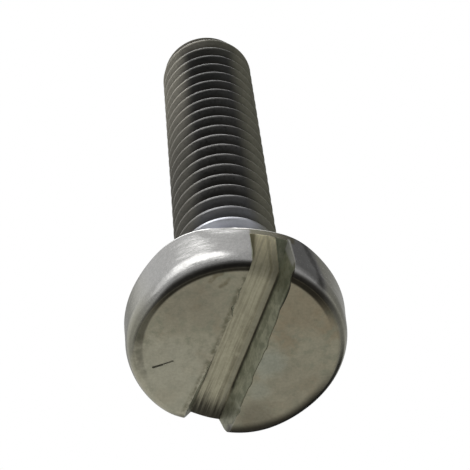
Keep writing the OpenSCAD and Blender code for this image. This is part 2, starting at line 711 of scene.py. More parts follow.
class Graph:
    """The shader nodes of one material or of the world."""

    def __init__(self, owner: bpy.types.Material | bpy.types.World) -> None:
        """Empties the owner's node tree.

        Args:
            owner: The material or world.
        """
        owner.use_nodes = True
        self.tree = owner.node_tree
        self.tree.nodes.clear()

    def node(self, kind: str, settings: dict | None = None, inputs: dict | None = None,
             output: int | str = 0) -> Value | None:
        """Adds any node.

        Args:
            kind: The node's type.
            settings: Its properties, set before its sockets.
            inputs: A value or a link for each named or numbered input socket.
            output: Which output the result stands for.

        Returns:
            The output socket, or nothing from a node that ends the graph.
        """
        made = self.tree.nodes.new(kind)
        for name, setting in (settings or {}).items():
            setattr(made, name, setting)
        for name, value in (inputs or {}).items():
            if isinstance(value, Value):
                self.tree.links.new(value.socket, made.inputs[name])
            else:
                made.inputs[name].default_value = value
        return Value(self, made.outputs[output]) if made.outputs else None

    def mix(self, factor: Value | float, first: "Value | tuple", second: "Value | tuple",
            blend: str = "MIX") -> Value:
        """Mixes two colours.

        Args:
            factor: How much of the second shows.
            first: The first colour.
            second: The second colour.
            blend: How they blend.

        Returns:
            The mixed colour.
        """
        sides = {6: first, 7: second}
        inputs = {key: side if isinstance(side, Value) else (*side, 1.0) for key, side in sides.items()}
        return self.node("ShaderNodeMix", {"data_type": "RGBA", "blend_type": blend, "clamp_factor": True},
                         {0: factor, **inputs}, output=2)

    def dim(self, mask: Value, colour: Value, tone: Tone) -> Value:
        """Multiplies a colour by a tone where a mask says so.

        Args:
            mask: Where the tone counts.
            colour: The colour so far.
            tone: What the colour is multiplied by.

        Returns:
            The dimmed or lifted colour.
        """
        return self.mix(1.0, colour, self.mix(mask, WHITE, tone), "MULTIPLY")

    def noise(self, vector: Value, scale: float, detail: float, rough: float) -> Value:
        """Adds noise.

        Args:
            vector: Where it is read.
            scale: How many lumps to a unit.
            detail: How many finer layers it has.
            rough: How strong these are.

        Returns:
            The noise, around 0.5.
        """
        return self.node("ShaderNodeTexNoise", {"noise_dimensions": "3D"},
                         {"Vector": vector, "Scale": scale, "Detail": detail, "Roughness": rough})

    def vector(self, x: Value | float, y: Value | float, z: Value | float) -> Value:
        """Joins three values into a vector."""
        return self.node("ShaderNodeCombineXYZ", inputs={0: x, 1: y, 2: z})


@dataclass(frozen=True)
class Place:
    """A point of the surface, in millimetres on the screw's and the slot's axes, and the noises there."""

    x: Value
    y: Value
    z: Value
    radius: Value
    across: Value
    along: Value
    broad: Value
    blotch: Value
    grain: Value
    fine: Value
    streak: Value
    turned: Value

    @classmethod
    def read(cls, graph: Graph, slot: DriverSlot) -> "Place":
        """Reads the place from the Object coordinates, and the noises at it.

        Args:
            graph: The graph to work in.
            slot: The slot, which gives its own axes.

        Returns:
            The place.
        """
        metres = graph.node("ShaderNodeTexCoord", output="Object")
        spot = graph.node("ShaderNodeMapping", {"vector_type": "POINT"},
                          {"Vector": metres, "Scale": (1 / MM, 1 / MM, 1 / MM)})
        parts = graph.node("ShaderNodeSeparateXYZ", inputs={0: spot})
        x, y, z = (Value(graph, parts.socket.node.outputs[i]) for i in range(3))
        radius = (x * x + y * y) ** 0.5
        angle = math.radians(slot.turn_deg)
        across = x * math.cos(angle) + y * math.sin(angle) - slot.off_centre
        along = y * math.cos(angle) - x * math.sin(angle)
        per_mm_across, per_mm_along, per_mm_up = 8.0, 0.30, 1.5
        drawn_out = graph.vector(across * per_mm_across, along * per_mm_along, z * per_mm_up)
        around, rings_up, rings_out = 4.0, 2.6, 1.2
        wound = graph.vector(x / radius * around, y / radius * around, z * rings_up + radius * rings_out)
        return cls(x, y, z, radius, across, along,
                   broad=graph.noise(spot, scale=0.55, detail=3.0, rough=0.55),
                   blotch=graph.noise(spot, scale=1.7, detail=4.0, rough=0.6),
                   grain=graph.noise(spot, scale=6.0, detail=3.0, rough=0.6),
                   fine=graph.noise(spot, scale=20.0, detail=2.0, rough=0.6),
                   streak=graph.noise(drawn_out, scale=1.0, detail=3.0, rough=0.6),
                   turned=graph.noise(wound, scale=1.0, detail=3.0, rough=0.55))


@dataclass(frozen=True)
class Areas:
    """Masks of the screw's areas, with the slot's ramp and the place across it from its floor's middle."""

    top: Value
    slot: Value
    floor: Value
    wall: Value
    thread: Value
    ramp: Value
    from_middle: Value


@dataclass(frozen=True)
class AreaFinder:
    """Tells the flat top, the slot's floor and walls and the thread apart by their place.

    Lengths are in millimetres. A pair of values is a fade: its mask is 0 at the first and 1 at the second.
    """

    flat_top: Fade = (0.05, 0.0)
    worn_left_y: Fade = (-0.4, 1.6)
    worn_left_x: Fade = (-1.5, -3.0)
    worn_left_reach: float = 9.0
    skin_radius: float = 5.38
    skin_draft: float = 0.0875
    skin_edge: float = 0.70
    under_skin: Fade = (-0.03, -0.10)
    right_mouth: Fade = (1.33, 1.25)
    right_lean: float = 0.22
    left_mouth: Fade = (-1.30, -1.24)
    left_lean: float = 0.07
    under_floor: Fade = (0.03, 0.005)
    past_mouth: Fade = (0.2, 0.4)
    off_top: Fade = (0.03, 0.10)
    off_rim: Fade = (2.62, 2.54)
    at_floor: Fade = (-0.13, -0.04)
    corner_from: float = -4.55
    corner_slant: float = -0.45
    past_corner: Fade = (-0.02, 0.03)
    corner_end: Fade = (-4.4, -4.7)
    thread: Fade = (3.3, 4.2)

    def find(self, place: Place, wear: SlotWear) -> Areas:
        """Works out the masks.

        Args:
            place: The place on the surface.
            wear: The slot's section.

        Returns:
            The areas.
        """
        x, y, z, across, along = place.x, place.y, place.z, place.across, place.along
        worn_left = y.rise(*self.worn_left_y) * x.rise(*self.worn_left_x)
        top = (z / (1.0 + worn_left * self.worn_left_reach)).rise(*self.flat_top)

        ramp = along.rise(wear.ramp_from, wear.ramp_to)
        over_floor = z - (wear.depth + ramp * wear.ramp_deeper)
        skin = z.least(z * self.skin_draft + self.skin_edge) + self.skin_radius
        inside = (place.radius - skin).rise(*self.under_skin)
        between = (across + z * self.right_lean).rise(*self.right_mouth)
        between = between * (across + z * self.left_lean).rise(*self.left_mouth)
        inside = inside.most(between * over_floor.rise(*self.under_floor) * z.rise(*self.past_mouth))
        slot = inside * z.rise(*self.off_top) * z.rise(*self.off_rim)

        floor = slot * over_floor.rise(*self.at_floor)
        corner = (self.corner_from - along).most(0.0) * self.corner_slant + wear.floor_width / 2
        beyond = (across - corner).rise(*self.past_corner) * along.rise(*self.corner_end) * floor
        floor = floor - beyond
        return Areas(top, slot, floor, slot - floor, z.rise(*self.thread), ramp,
                     across - corner + wear.floor_width / 2)


@dataclass(frozen=True)
class Mark:
    """A scratch or smudge on the flat top, ends in millimetres on the screw's own axes."""

    start: tuple[float, float]
    end: tuple[float, float]
    width: float
    strength: float
    core: float = 0.2

    def mask(self, place: Place) -> Value:
        """Draws the mark as a soft line.

        Args:
            place: The place on the surface.

        Returns:
            The mark's mask.
        """
        (x0, y0), (x1, y1) = self.start, self.end
        length = math.hypot(x1 - x0, y1 - y0)
        ux, uy = (x1 - x0) / length, (y1 - y0) / length
        along = (place.x - x0) * ux + (place.y - y0) * uy
        beyond = (along - length).most(0.0) + (0 - along).most(0.0)
        aside = (place.x - x0) * uy - (place.y - y0) * ux
        away = (beyond * beyond + aside * aside) ** 0.5
        return away.rise(self.width, self.width * self.core) * self.strength


@dataclass(frozen=True)
class Stain:
    """A soft round patch of another tone on the flat top, in millimetres on the screw's own axes."""

    middle: tuple[float, float]
    radius: float
    tone: Tone
    strength: float
    outer: float = 1.15
    inner: float = 0.35

    def mask(self, place: Place) -> Value:
        """Draws the patch, its edge frayed by the blotches.

        Args:
            place: The place on the surface.

        Returns:
            The patch's mask.
        """
        dx, dy = place.x - self.middle[0], place.y - self.middle[1]
        away = (dx * dx + dy * dy) ** 0.5 + (place.blotch - 0.5) * self.radius
        return away.rise(self.radius * self.outer, self.radius * self.inner) * self.strength


@dataclass(frozen=True)
class FlatTop:
    """The tarnished flat top, with its stains, smudges, scratches and specks. Colours are linear."""

    tarnished: Tone = (0.294, 0.277, 0.204)
    brown: Tone = (0.240, 0.200, 0.130)
    brown_where: Fade = (0.46, 0.66)
    brown_share: float = 0.60
    green: Tone = (0.236, 0.238, 0.174)
    green_where: Fade = (0.47, 0.64)
    green_share: float = 0.65
    smudge: Tone = (0.180, 0.162, 0.108)
    smudge_where: Fade = (0.2, 0.5)
    speck_size: Fade = (0.66, 0.74)
    speck_where: Fade = (0.40, 0.60)
    speck_share: float = 0.45
    scratches: tuple[Mark, ...] = (
        Mark((-4.80, 1.03), (-4.26, 0.86), 0.085, 1.0),
        Mark((-4.40, 0.90), (-3.66, 0.64), 0.06, 0.8),
    )
    smudges: tuple[Mark, ...] = (
        Mark((-1.47, -4.62), (-1.25, -4.96), 0.22, 0.95),
        Mark((-1.25, -4.96), (-0.84, -5.09), 0.18, 0.8),
        Mark((-0.93, -4.29), (-0.64, -4.47), 0.22, 0.9),
        Mark((-0.64, -4.47), (-0.46, -4.74), 0.17, 0.7),
    )
    stains: tuple[Stain, ...] = (
        Stain((-3.6, 2.6), 4.2, (0.370, 0.358, 0.280), 0.62),
        Stain((3.6, -2.6), 2.4, (0.250, 0.210, 0.140), 0.60),
        Stain((-2.6, -3.4), 2.4, (0.235, 0.214, 0.158), 0.50),
        Stain((3.2, 3.2), 2.6, (0.255, 0.235, 0.172), 0.60),
        Stain((1.0, 5.0), 1.5, (0.170, 0.155, 0.112), 0.75),
        Stain((-4.2, 0.4), 1.9, (0.340, 0.328, 0.254), 0.60),
        Stain((1.75, 1.1), 1.2, (0.285, 0.296, 0.240), 0.75),
        Stain((1.2, 3.0), 0.8, (0.290, 0.296, 0.236), 0.60),
    )

    def colour(self, graph: Graph, place: Place) -> Value:
        """Colours the flat top.

        Args:
            graph: The graph to work in.
            place: The place on the surface.

        Returns:
            The colour.
        """
        brown = place.broad.rise(*self.brown_where) * self.brown_share
        top = graph.mix(brown, self.tarnished, self.brown)
        top = graph.mix(place.blotch.rise(*self.green_where) * self.green_share, top, self.green)
        for stain in self.stains:
            top = graph.mix(stain.mask(place), top, stain.tone)
        for smudge in self.smudges:
            top = graph.mix(smudge.mask(place) * place.blotch.rise(*self.smudge_where), top, self.smudge)
        return top

    def scratch(self, place: Place, areas: Areas) -> Value:
        """Draws the scratch, made of two strokes."""
        first, second = self.scratches
        return first.mask(place).most(second.mask(place)) * areas.top

    def specks(self, place: Place, areas: Areas) -> Value:
        """Draws the dark specks."""
        specks = place.fine.rise(*self.speck_size) * place.blotch.rise(*self.speck_where)
        return specks * areas.top * self.speck_share


@dataclass(frozen=True)
class HeadSide:
    """The satin side of the head: dull behind, paler on the right, with a dark line that bounds the paler
    part. Colours are linear.
    """

    clean: Tone = (0.236, 0.234, 0.228)
    dull: Tone = (0.240, 0.234, 0.190)
    clean_where: Fade = (-4.5, -1.5)
    pale_right: Tone = (0.400, 0.392, 0.325)
    right_from: Fade = (2.4, 3.0)
    off_top: Fade = (0.10, 0.30)
    off_bearing: Fade = (2.79, 2.72)
    line_slant: float = 1.26
    line_lean: float = -0.206
    line_waver: float = 1.0
    past_line: Fade = (0.2, 1.2)
    dull_share: float = 0.85
    right_line_width: Fade = (0.62, 0.05)
    right_line_share: float = 0.60

    def colour(self, graph: Graph, place: Place) -> Value:
        """Colours the side all round."""
        return graph.mix(place.y.rise(*self.clean_where), self.clean, self.dull)

    def right_side(self, graph: Graph, place: Place, colour: Value) -> Value:
        """Adds the paler patch on the right and the dark line that bounds it.

        Args:
            graph: The graph to work in.
            place: The place on the surface.
            colour: The colour so far.

        Returns:
            The colour.
        """
        x, y, z = place.x, place.y, place.z
        on_side = z.rise(*self.off_top) * z.rise(*self.off_bearing) * x.rise(*self.right_from)
        line = x + y * (z * self.line_lean + self.line_slant) + (place.blotch - 0.5) * self.line_waver
        colour = graph.mix(on_side * line.rise(*self.past_line) * self.dull_share, colour, self.pale_right)
        return graph.mix(on_side * abs(line).rise(*self.right_line_width) * self.right_line_share, colour, GRIME_AND_SHADE)


@dataclass(frozen=True)
class MilledSlot:
    """The slot's floor, with its lengthwise bands, and its mottled walls. Colours are linear."""

    floor: Tone = (0.420, 0.395, 0.285)
    floor_dark: Tone = (0.180, 0.162, 0.108)
    dark_where: Fade = (0.40, 0.68)
    dark_share: float = 0.45
    waver: float = 0.12
    band_across: float = 0.40
    band_width: Fade = (0.16, 0.02)
    band_where: Fade = (0.25, 0.55)
    band_share: float = 0.55
    stripe: Tone = (0.300, 0.285, 0.215)
    stripe_across: float = 0.66
    stripe_width: Fade = (0.15, 0.08)
    stripe_share: float = 0.6
    wall: Tone = (0.580, 0.586, 0.460)
    wall_dark: Tone = (0.370, 0.382, 0.285)
    wall_where: Fade = (0.36, 0.62)
    wall_streak: float = 0.5
    corner_inner: Fade = (-0.09, -0.02)
    corner_outer: Fade = (0.10, 0.02)
    corner_back: Fade = (4.6, 3.6)
    corner_front: Fade = (-5.0, -4.0)
    corner_front_share: float = 0.65
    corner_share: float = 0.75
    # Painted shade on the walls towards both ends of the slot.
    wall_front: Fade = (-2.8, -4.4)
    wall_front_shade: Tone = (0.42, 0.43, 0.39)
    wall_back: Fade = (3.0, 5.4)
    wall_back_shade: Tone = (0.42, 0.41, 0.37)
    dark_end: Fade = (4.0, 6.0)
    dark_end_waver: float = 2.4
    dark_end_share: float = 0.86

    def colour(self, graph: Graph, place: Place, areas: Areas, wear: SlotWear, colour: Value) -> Value:
        """Colours the floor, the walls and the darker corners between them.

        Args:
            graph: The graph to work in.
            place: The place on the surface.
            areas: The screw's areas.
            wear: The slot's section.
            colour: The colour so far.

        Returns:
            The colour.
        """
        across, along, streak, blotch = areas.from_middle, place.along, place.streak, place.blotch
        waver = (streak - 0.5) * self.waver
        floor = graph.mix(streak.rise(*self.dark_where) * self.dark_share, self.floor, self.floor_dark)
        band = abs(across - self.band_across + waver).rise(*self.band_width) * blotch.rise(*self.band_where)
        floor = graph.mix(band * self.band_share, floor, self.floor_dark)
        stripe = abs(across - self.stripe_across + waver).rise(*self.stripe_width)
        floor = graph.mix(stripe * self.stripe_share, floor, self.stripe)
        mottle = (blotch + (streak - 0.5) * self.wall_streak).rise(*self.wall_where)
        colour = graph.mix(areas.floor, colour, floor)
        colour = graph.mix(areas.wall, colour, graph.mix(mottle, self.wall, self.wall_dark))
        past = abs(across) - wear.floor_width / 2
        corner = past.rise(*self.corner_inner) * past.rise(*self.corner_outer) * (areas.floor + areas.wall)
        front = along.rise(*self.corner_front) * self.corner_front_share + (1 - self.corner_front_share)
        corner = corner * along.rise(*self.corner_back) * front
        return graph.mix(corner * self.corner_share, colour, GRIME_AND_SHADE)

    def shade_wall_ends(self, graph: Graph, place: Place, areas: Areas, colour: Value) -> Value:
        """Darkens the walls towards both ends of the slot, as painted shade.

        Args:
            graph: The graph to work in.
            place: The place on the surface.
            areas: The screw's areas.
            colour: The colour so far.

        Returns:
            The colour.
        """
        colour = graph.dim(areas.wall * place.along.rise(*self.wall_front), colour, self.wall_front_shade)
        return graph.dim(areas.wall * place.along.rise(*self.wall_back), colour, self.wall_back_shade)

    def darker_floor_end(self, place: Place, areas: Areas) -> Value:
        """Darkens the back end of the floor."""
        frayed = place.along + (place.streak - 0.5) * self.dark_end_waver
        return areas.floor * frayed.rise(*self.dark_end) * self.dark_end_share


@dataclass(frozen=True)
class SlotFrontEnd:
    """The worn front end of the slot, on the side of the head, with a painted shadow of the left wall,
    painted shade on the rim and a painted glint. Colours are linear.
    """

    under_bearing: Fade = (2.79, 2.72)
    strip: Tone = (0.150, 0.143, 0.108)
    strip_from: Fade = (1.90, 2.05)
    strip_along: Fade = (-5.4, -5.8)
    strip_shift: float = 0.1
    strip_width: Fade = (1.40, 1.20)
    # Painted shade: the rim right of the slot and towards the front is darker.
    rim_shade: Tone = (0.42, 0.41, 0.37)
    rim_from: Fade = (2.38, 2.50)
    rim_right: Fade = (-0.5, 1.0)
    rim_front: Fade = (0.0, -2.0)
    lip_slant: float = 0.45
    lip_reach: Fade = (6.22, 6.42)
    lip_radius: Fade = (5.8, 5.95)
    lip_along: Fade = (-5.0, -5.4)
    lip_share: float = 0.80
    # Painted shadow of the left wall on the floor's left side, near the front end.
    wall_shadow_width: Fade = (0.46, 0.24)
    wall_shadow_along: Fade = (-4.6, -5.2)
    wall_shadow_share: float = 0.95
    ramp_lift: Tone = (1.95, 1.92, 1.85)
    # A light tone on the worn edge: a painted glint.
    worn: Tone = (0.300, 0.300, 0.270)
    worn_across: float = 1.28
    worn_lean: float = 0.196
    worn_width: Fade = (0.12, 0.05)
    worn_radius: Fade = (5.75, 5.95)
    worn_from: Fade = (0.45, 0.75)
    worn_to: Fade = (2.35, 2.15)
    worn_along: Fade = (-4.2, -4.6)

    def colour(self, graph: Graph, place: Place, areas: Areas, wear: SlotWear, colour: Value) -> Value:
        """Colours the floor's ramp, its dark lip, the painted shadow of the left wall along its left side,
        and the side of the head above it, with painted shade on the rim right of the slot.

        Args:
            graph: The graph to work in.
            place: The place on the surface.
            areas: The screw's areas.
            wear: The slot's section.
            colour: The colour so far.

        Returns:
            The colour.
        """
        z, across, along = place.z, place.across, place.along
        under_bearing = z.rise(*self.under_bearing)
        strip = z.rise(*self.strip_from) * along.rise(*self.strip_along)
        strip = strip * abs(across + self.strip_shift).rise(*self.strip_width) * (1 - areas.slot)
        colour = graph.mix(strip * under_bearing, colour, self.strip)
        # Painted shade on the rim right of the slot, towards the front.
        rim = z.rise(*self.rim_from) * under_bearing * place.x.rise(*self.rim_right)
        colour = graph.dim(rim * place.y.rise(*self.rim_front), colour, self.rim_shade)
        # Painted shadow of the left wall on the floor.
        from_left = across + wear.floor_width / 2 - areas.ramp * wear.ramp_left
        wall_shadow = from_left.rise(*self.wall_shadow_width) * along.rise(*self.wall_shadow_along) * areas.floor
        colour = graph.mix(wall_shadow * self.wall_shadow_share, colour, SHADE)
        colour = graph.dim(areas.floor * areas.ramp, colour, self.ramp_lift)
        lip = (place.radius + across * self.lip_slant).rise(*self.lip_reach)
        lip = lip * place.radius.rise(*self.lip_radius) * areas.floor * along.rise(*self.lip_along)
        return graph.mix(lip * self.lip_share, colour, SHADE)

    def worn_edge_glint(self, place: Place) -> Value:
        """Draws the painted glint on the right wall's worn edge.

        Args:
            place: The place on the surface.

        Returns:
            The glint's mask.
        """
        from_edge = abs(place.across + place.z * self.worn_lean - self.worn_across)
        edge = from_edge.rise(*self.worn_width) * place.radius.rise(*self.worn_radius)
        edge = edge * place.z.rise(*self.worn_from) * place.z.rise(*self.worn_to)
        return edge * place.along.rise(*self.worn_along)


@dataclass(frozen=True)
class ThreadFinish:
    """The dark thread: pale, dusty, matte patches on its flanks, paler on the left and right sides as painted
    sheen; crests lighter on the left from wear and a painted highlight; a pale bluish gleam on the front
    turns next to the head, a painted reflection. Colours are linear.
    """

    root: Tone = (0.028, 0.028, 0.027)
    crest: Tone = (0.090, 0.088, 0.085)
    crest_radius: Fade = (2.75, 3.17)
    crest_where: Fade = (0.25, 0.50)
    crest_up: Fade = (34.0, 14.0)
    # The crests are lighter on the left only: wear with a painted highlight.
    crest_highlight_side: Fade = (2.2, -0.6)
    crest_share: float = 0.85
    # Pale, matte patches: dusty, and on the left and right sides also a painted sheen.
    dust_and_sheen_left: Fade = (-1.2, -2.4)
    dust_and_sheen_right: Fade = (1.2, 2.4)
    dust_tip: Fade = (31.0, 34.0)
    dust_tip_share: float = 0.8
    dust_and_sheen_share: float = 0.72
    dust_and_sheen_waver: float = 0.6
    # The patches' tones; on the left and right sides they are painted sheen.
    left_tone: Tone = (0.120, 0.113, 0.092)
    tip_tone: Tone = (0.300, 0.283, 0.232)
    tip_where: Fade = (16.0, 30.0)
    right_tone: Tone = (0.160, 0.155, 0.110)
    right_where: Fade = (-1.0, 1.0)
    # Painted reflection: a pale bluish gleam on the front turns next to the head.
    bright: Tone = (0.68, 0.70, 0.77)
    gleam_to: Fade = (13.0, 8.6)
    gleam_waver: float = 2.4
    gleam_round: float = 0.5
    gleam_front: Fade = (0.2, -1.6)
    gleam_core: Fade = (9.8, 7.6)
    gleam_share: float = 0.16
    groove: Fade = (3.05, 2.60)
    groove_share: float = 0.55

    def dust_and_sheen(self, place: Place, areas: Areas) -> Value:
        """Draws the dusty, matte patches near the point and on the left and right flanks, where their paler
        tone is also painted sheen.

        Args:
            place: The place on the surface.
            areas: The screw's areas.

        Returns:
            The mask of the dusty patches and the painted sheen.
        """
        # The left and right sides: dusty and matte, and paler as painted sheen.
        sides = place.x.rise(*self.dust_and_sheen_left).most(place.x.rise(*self.dust_and_sheen_right))
        dust_and_sheen = sides.most(place.z.rise(*self.dust_tip) * self.dust_tip_share)
        return dust_and_sheen * areas.thread * (self.dust_and_sheen_share + (place.blotch - 0.5) * self.dust_and_sheen_waver)

    def colour(self, graph: Graph, place: Place, dust_and_sheen: Value) -> Value:
        """Colours the thread.

        Args:
            graph: The graph to work in.
            place: The place on the surface.
            dust_and_sheen: The mask of the dusty patches and the painted sheen.

        Returns:
            The colour.
        """
        x, z, grain = place.x, place.z, place.grain
        tone = graph.mix(z.rise(*self.tip_where), self.left_tone, self.tip_tone)
        tone = graph.mix(x.rise(*self.right_where), tone, self.right_tone)
        worn = place.radius.rise(*self.crest_radius) * grain.rise(*self.crest_where) * z.rise(*self.crest_up)
        # Crest wear shows on the left only, as a painted highlight.
        thread = graph.mix(worn * x.rise(*self.crest_highlight_side) * self.crest_share, self.root, self.crest)
        thread = graph.mix(dust_and_sheen, thread, tone)
        # Painted reflection: the pale bluish gleam, on the front only, fading up the shank.
        height = z + (grain - 0.5) * self.gleam_waver + abs(x) * self.gleam_round
        bright = height.rise(*self.gleam_to) * (1 - dust_and_sheen) * place.y.rise(*self.gleam_front)
        core = self.gleam_share + z.rise(*self.gleam_core) * (1 - self.gleam_share)
        return graph.mix(bright * core, thread, self.bright)

    def darker_groove(self, place: Place, areas: Areas) -> Value:
        """Darkens the thread's groove."""
        return place.radius.rise(*self.groove) * areas.thread * self.groove_share


@dataclass(frozen=True)
class EdgeShadeAndLine:
    """The painted dark reflection round the flat top, the painted shade on the rim behind it, and the dark
    line on the slot's left edge.
    """

    above_top: Fade = (0.002, 0.02)
    below_side: Fade = (0.26, 0.07)
    narrow_left: Fade = (-3.4, -5.2)
    narrow_by: float = 1.6
    flat_radius: float = 5.43
    creep: Fade = (-1.0, -5.0)
    creep_by: float = 0.12
    flat_reach: Fade = (-0.16, 0.0)
    on_flat: Fade = (0.05, 0.0)
    left_y: Fade = (0.3, -1.2)
    left_x: Fade = (1.7, 1.0)
    left_share: float = 0.90
    left_fade: Fade = (-3.6, -5.2)
    left_fade_by: float = 0.35
    right_y: Fade = (-0.8, -3.6)
    right_x: Fade = (1.0, 1.7)
    right_share: float = 0.92
    low_y: Fade = (2.6, 0.4)
    low_x: Fade = (-4.2, -5.0)
    low_where: Fade = (0.20, 0.55)
    low_share: float = 0.30
    back_y: Fade = (1.5, 4.2)
    back_x: Fade = (-1.7, -0.4)
    back_slant: float = 0.12
    back_radius: Fade = (5.05, 5.62)
    back_widen: float = -0.045
    back_up: Fade = (2.79, 2.6)
    back_share: float = 0.86
    line_in: float = 0.12
    line_waver: float = 0.24
    line_width: Fade = (0.26, 0.02)
    line_up: Fade = (0.09, 0.04)
    line_where: Fade = (0.38, 0.62)
    line_streak: float = 0.3
    line_share: float = 0.7

    def ring(self, place: Place) -> Value:
        """Draws the painted dark reflection on the rounded edge round the flat top, and painted shade on the
        flat's own edge.

        Args:
            place: The place on the surface.

        Returns:
            The ring's mask.
        """
        x, y, z = place.x, place.y, place.z
        # Painted dark reflection on the rounding, and painted shade on the flat just inside it.
        narrowed = z * (x.rise(*self.narrow_left) * self.narrow_by + 1.0)
        edge = z.rise(*self.above_top) * narrowed.rise(*self.below_side)
        past_flat = place.radius - self.flat_radius + y.rise(*self.creep) * self.creep_by
        edge = edge.most(past_flat.rise(*self.flat_reach) * z.rise(*self.on_flat))
        left_share = self.left_share - x.rise(*self.left_fade) * self.left_fade_by
        left = edge * y.rise(*self.left_y) * x.rise(*self.left_x) * left_share
        right = edge * y.rise(*self.right_y) * x.rise(*self.right_x) * self.right_share
        low = edge * y.rise(*self.low_y) * x.rise(*self.low_x) * place.blotch.rise(*self.low_where)
        return left.most(right).most(low * self.low_share)

    def back_rim_shade(self, place: Place, areas: Areas) -> Value:
        """Draws the painted shade on the rim behind the flat top.

        Args:
            place: The place on the surface.
            areas: The screw's areas.

        Returns:
            The rim's mask.
        """
        # Painted shade: the rounding behind the flat top, darkened as if in shadow.
        at_back = place.y.rise(*self.back_y) * (place.x + place.y * self.back_slant).rise(*self.back_x)
        rim = (place.radius + place.y * self.back_widen).rise(*self.back_radius) * (1 - areas.slot)
        return rim * at_back * place.z.rise(*self.back_up) * self.back_share

    def edge_line(self, place: Place, wear: SlotWear) -> Value:
        """Draws the broken dark line along the slot's left edge.

        Args:
            place: The place on the surface.
            wear: The slot's section.

        Returns:
            The line's mask.
        """
        from_edge = place.across + wear.mouth_width / 2 - wear.left_inset
        from_edge = from_edge - wear.left_drift * (place.along - wear.drift_from).most(0.0)
        line = abs(from_edge + self.line_in + (place.grain - 0.5) * self.line_waver).rise(*self.line_width)
        line = line * place.z.rise(*self.line_up)
        broken = (place.blotch + (place.streak - 0.5) * self.line_streak).rise(*self.line_where)
        return line * broken * self.line_share


@dataclass(frozen=True)
class Gloss:
    """How rough and how metallic the plate is: each value is what an area or a noise adds or takes."""

    clean: float = 0.225
    flat_top: float = 0.17
    slot: float = 0.22
    thread: float = 0.16
    dust_and_sheen: float = 0.25
    blotches: float = 0.16
    turned: float = 0.16
    dirt_and_shade: float = 0.2
    less_metal_wall: float = 0.45
    # Less metal on the painted glint, so that its light tone shows evenly.
    less_metal_glint: float = 0.8
    less_metal_floor: float = 0.15
    # Less metal on the dusty patches, whose sides also carry the painted sheen.
    less_metal_dust_and_sheen: float = 0.85

    def roughness(self, place: Place, areas: Areas, dust_and_sheen: Value, dirt_and_shade: Value) -> Value:
        """Works out the roughness.

        Args:
            place: The place on the surface.
            areas: The screw's areas.
            dust_and_sheen: The mask of the dusty patches and the painted sheen.
            dirt_and_shade: The mask of all that is nearly black, grime and painted shade alike.

        Returns:
            The roughness.
        """
        rough = self.clean + areas.top * self.flat_top + areas.slot * self.slot + areas.thread * self.thread
        rough = rough + dust_and_sheen * self.dust_and_sheen + (place.blotch - 0.5) * self.blotches
        return (rough + (place.turned - 0.5) * self.turned + dirt_and_shade * self.dirt_and_shade).clamp()

    def metal(self, areas: Areas, dust_and_sheen: Value, worn_edge_glint: Value) -> Value:
        """Works out how metallic the plate is.

        Args:
            areas: The screw's areas.
            dust_and_sheen: The mask of the dusty patches and the painted sheen.
            worn_edge_glint: The mask of the painted glint on the worn edge.

        Returns:
            The value for Metallic.
        """
        dull = (areas.wall * self.less_metal_wall).most(worn_edge_glint * self.less_metal_glint)
        return 1.0 - dull - areas.floor * self.less_metal_floor - dust_and_sheen * self.less_metal_dust_and_sheen


@dataclass(frozen=True)
class Relief:
    """The plate's fine relief: each value is a height in millimetres."""

    broad: float = 0.022
    blotches: float = 0.012
    grain: float = 0.006
    fine: float = 0.0022
    turned: float = 0.030
    streaks: float = 0.02
    scratch: float = 0.03
    strength: float = 0.6

    def normal(self, graph: Graph, place: Place, areas: Areas, scratch: Value) -> Value:
        """Raises blotches, turned lines on the side, streaks on the slot's floor and the scratch.

        Args:
            graph: The graph to work in.
            place: The place on the surface.
            areas: The screw's areas.
            scratch: The scratch's mask.

        Returns:
            The bumped normal.
        """
        height = place.broad * self.broad + place.blotch * self.blotches
        height = height + place.grain * self.grain + place.fine * self.fine
        height = height + place.turned * (self.turned - areas.top * self.turned - areas.slot * self.turned)
        height = height + areas.floor * place.streak * self.streaks - scratch * self.scratch
        return graph.node("ShaderNodeBump", inputs={
            "Strength": self.strength, "Distance": MM, "Height": height})


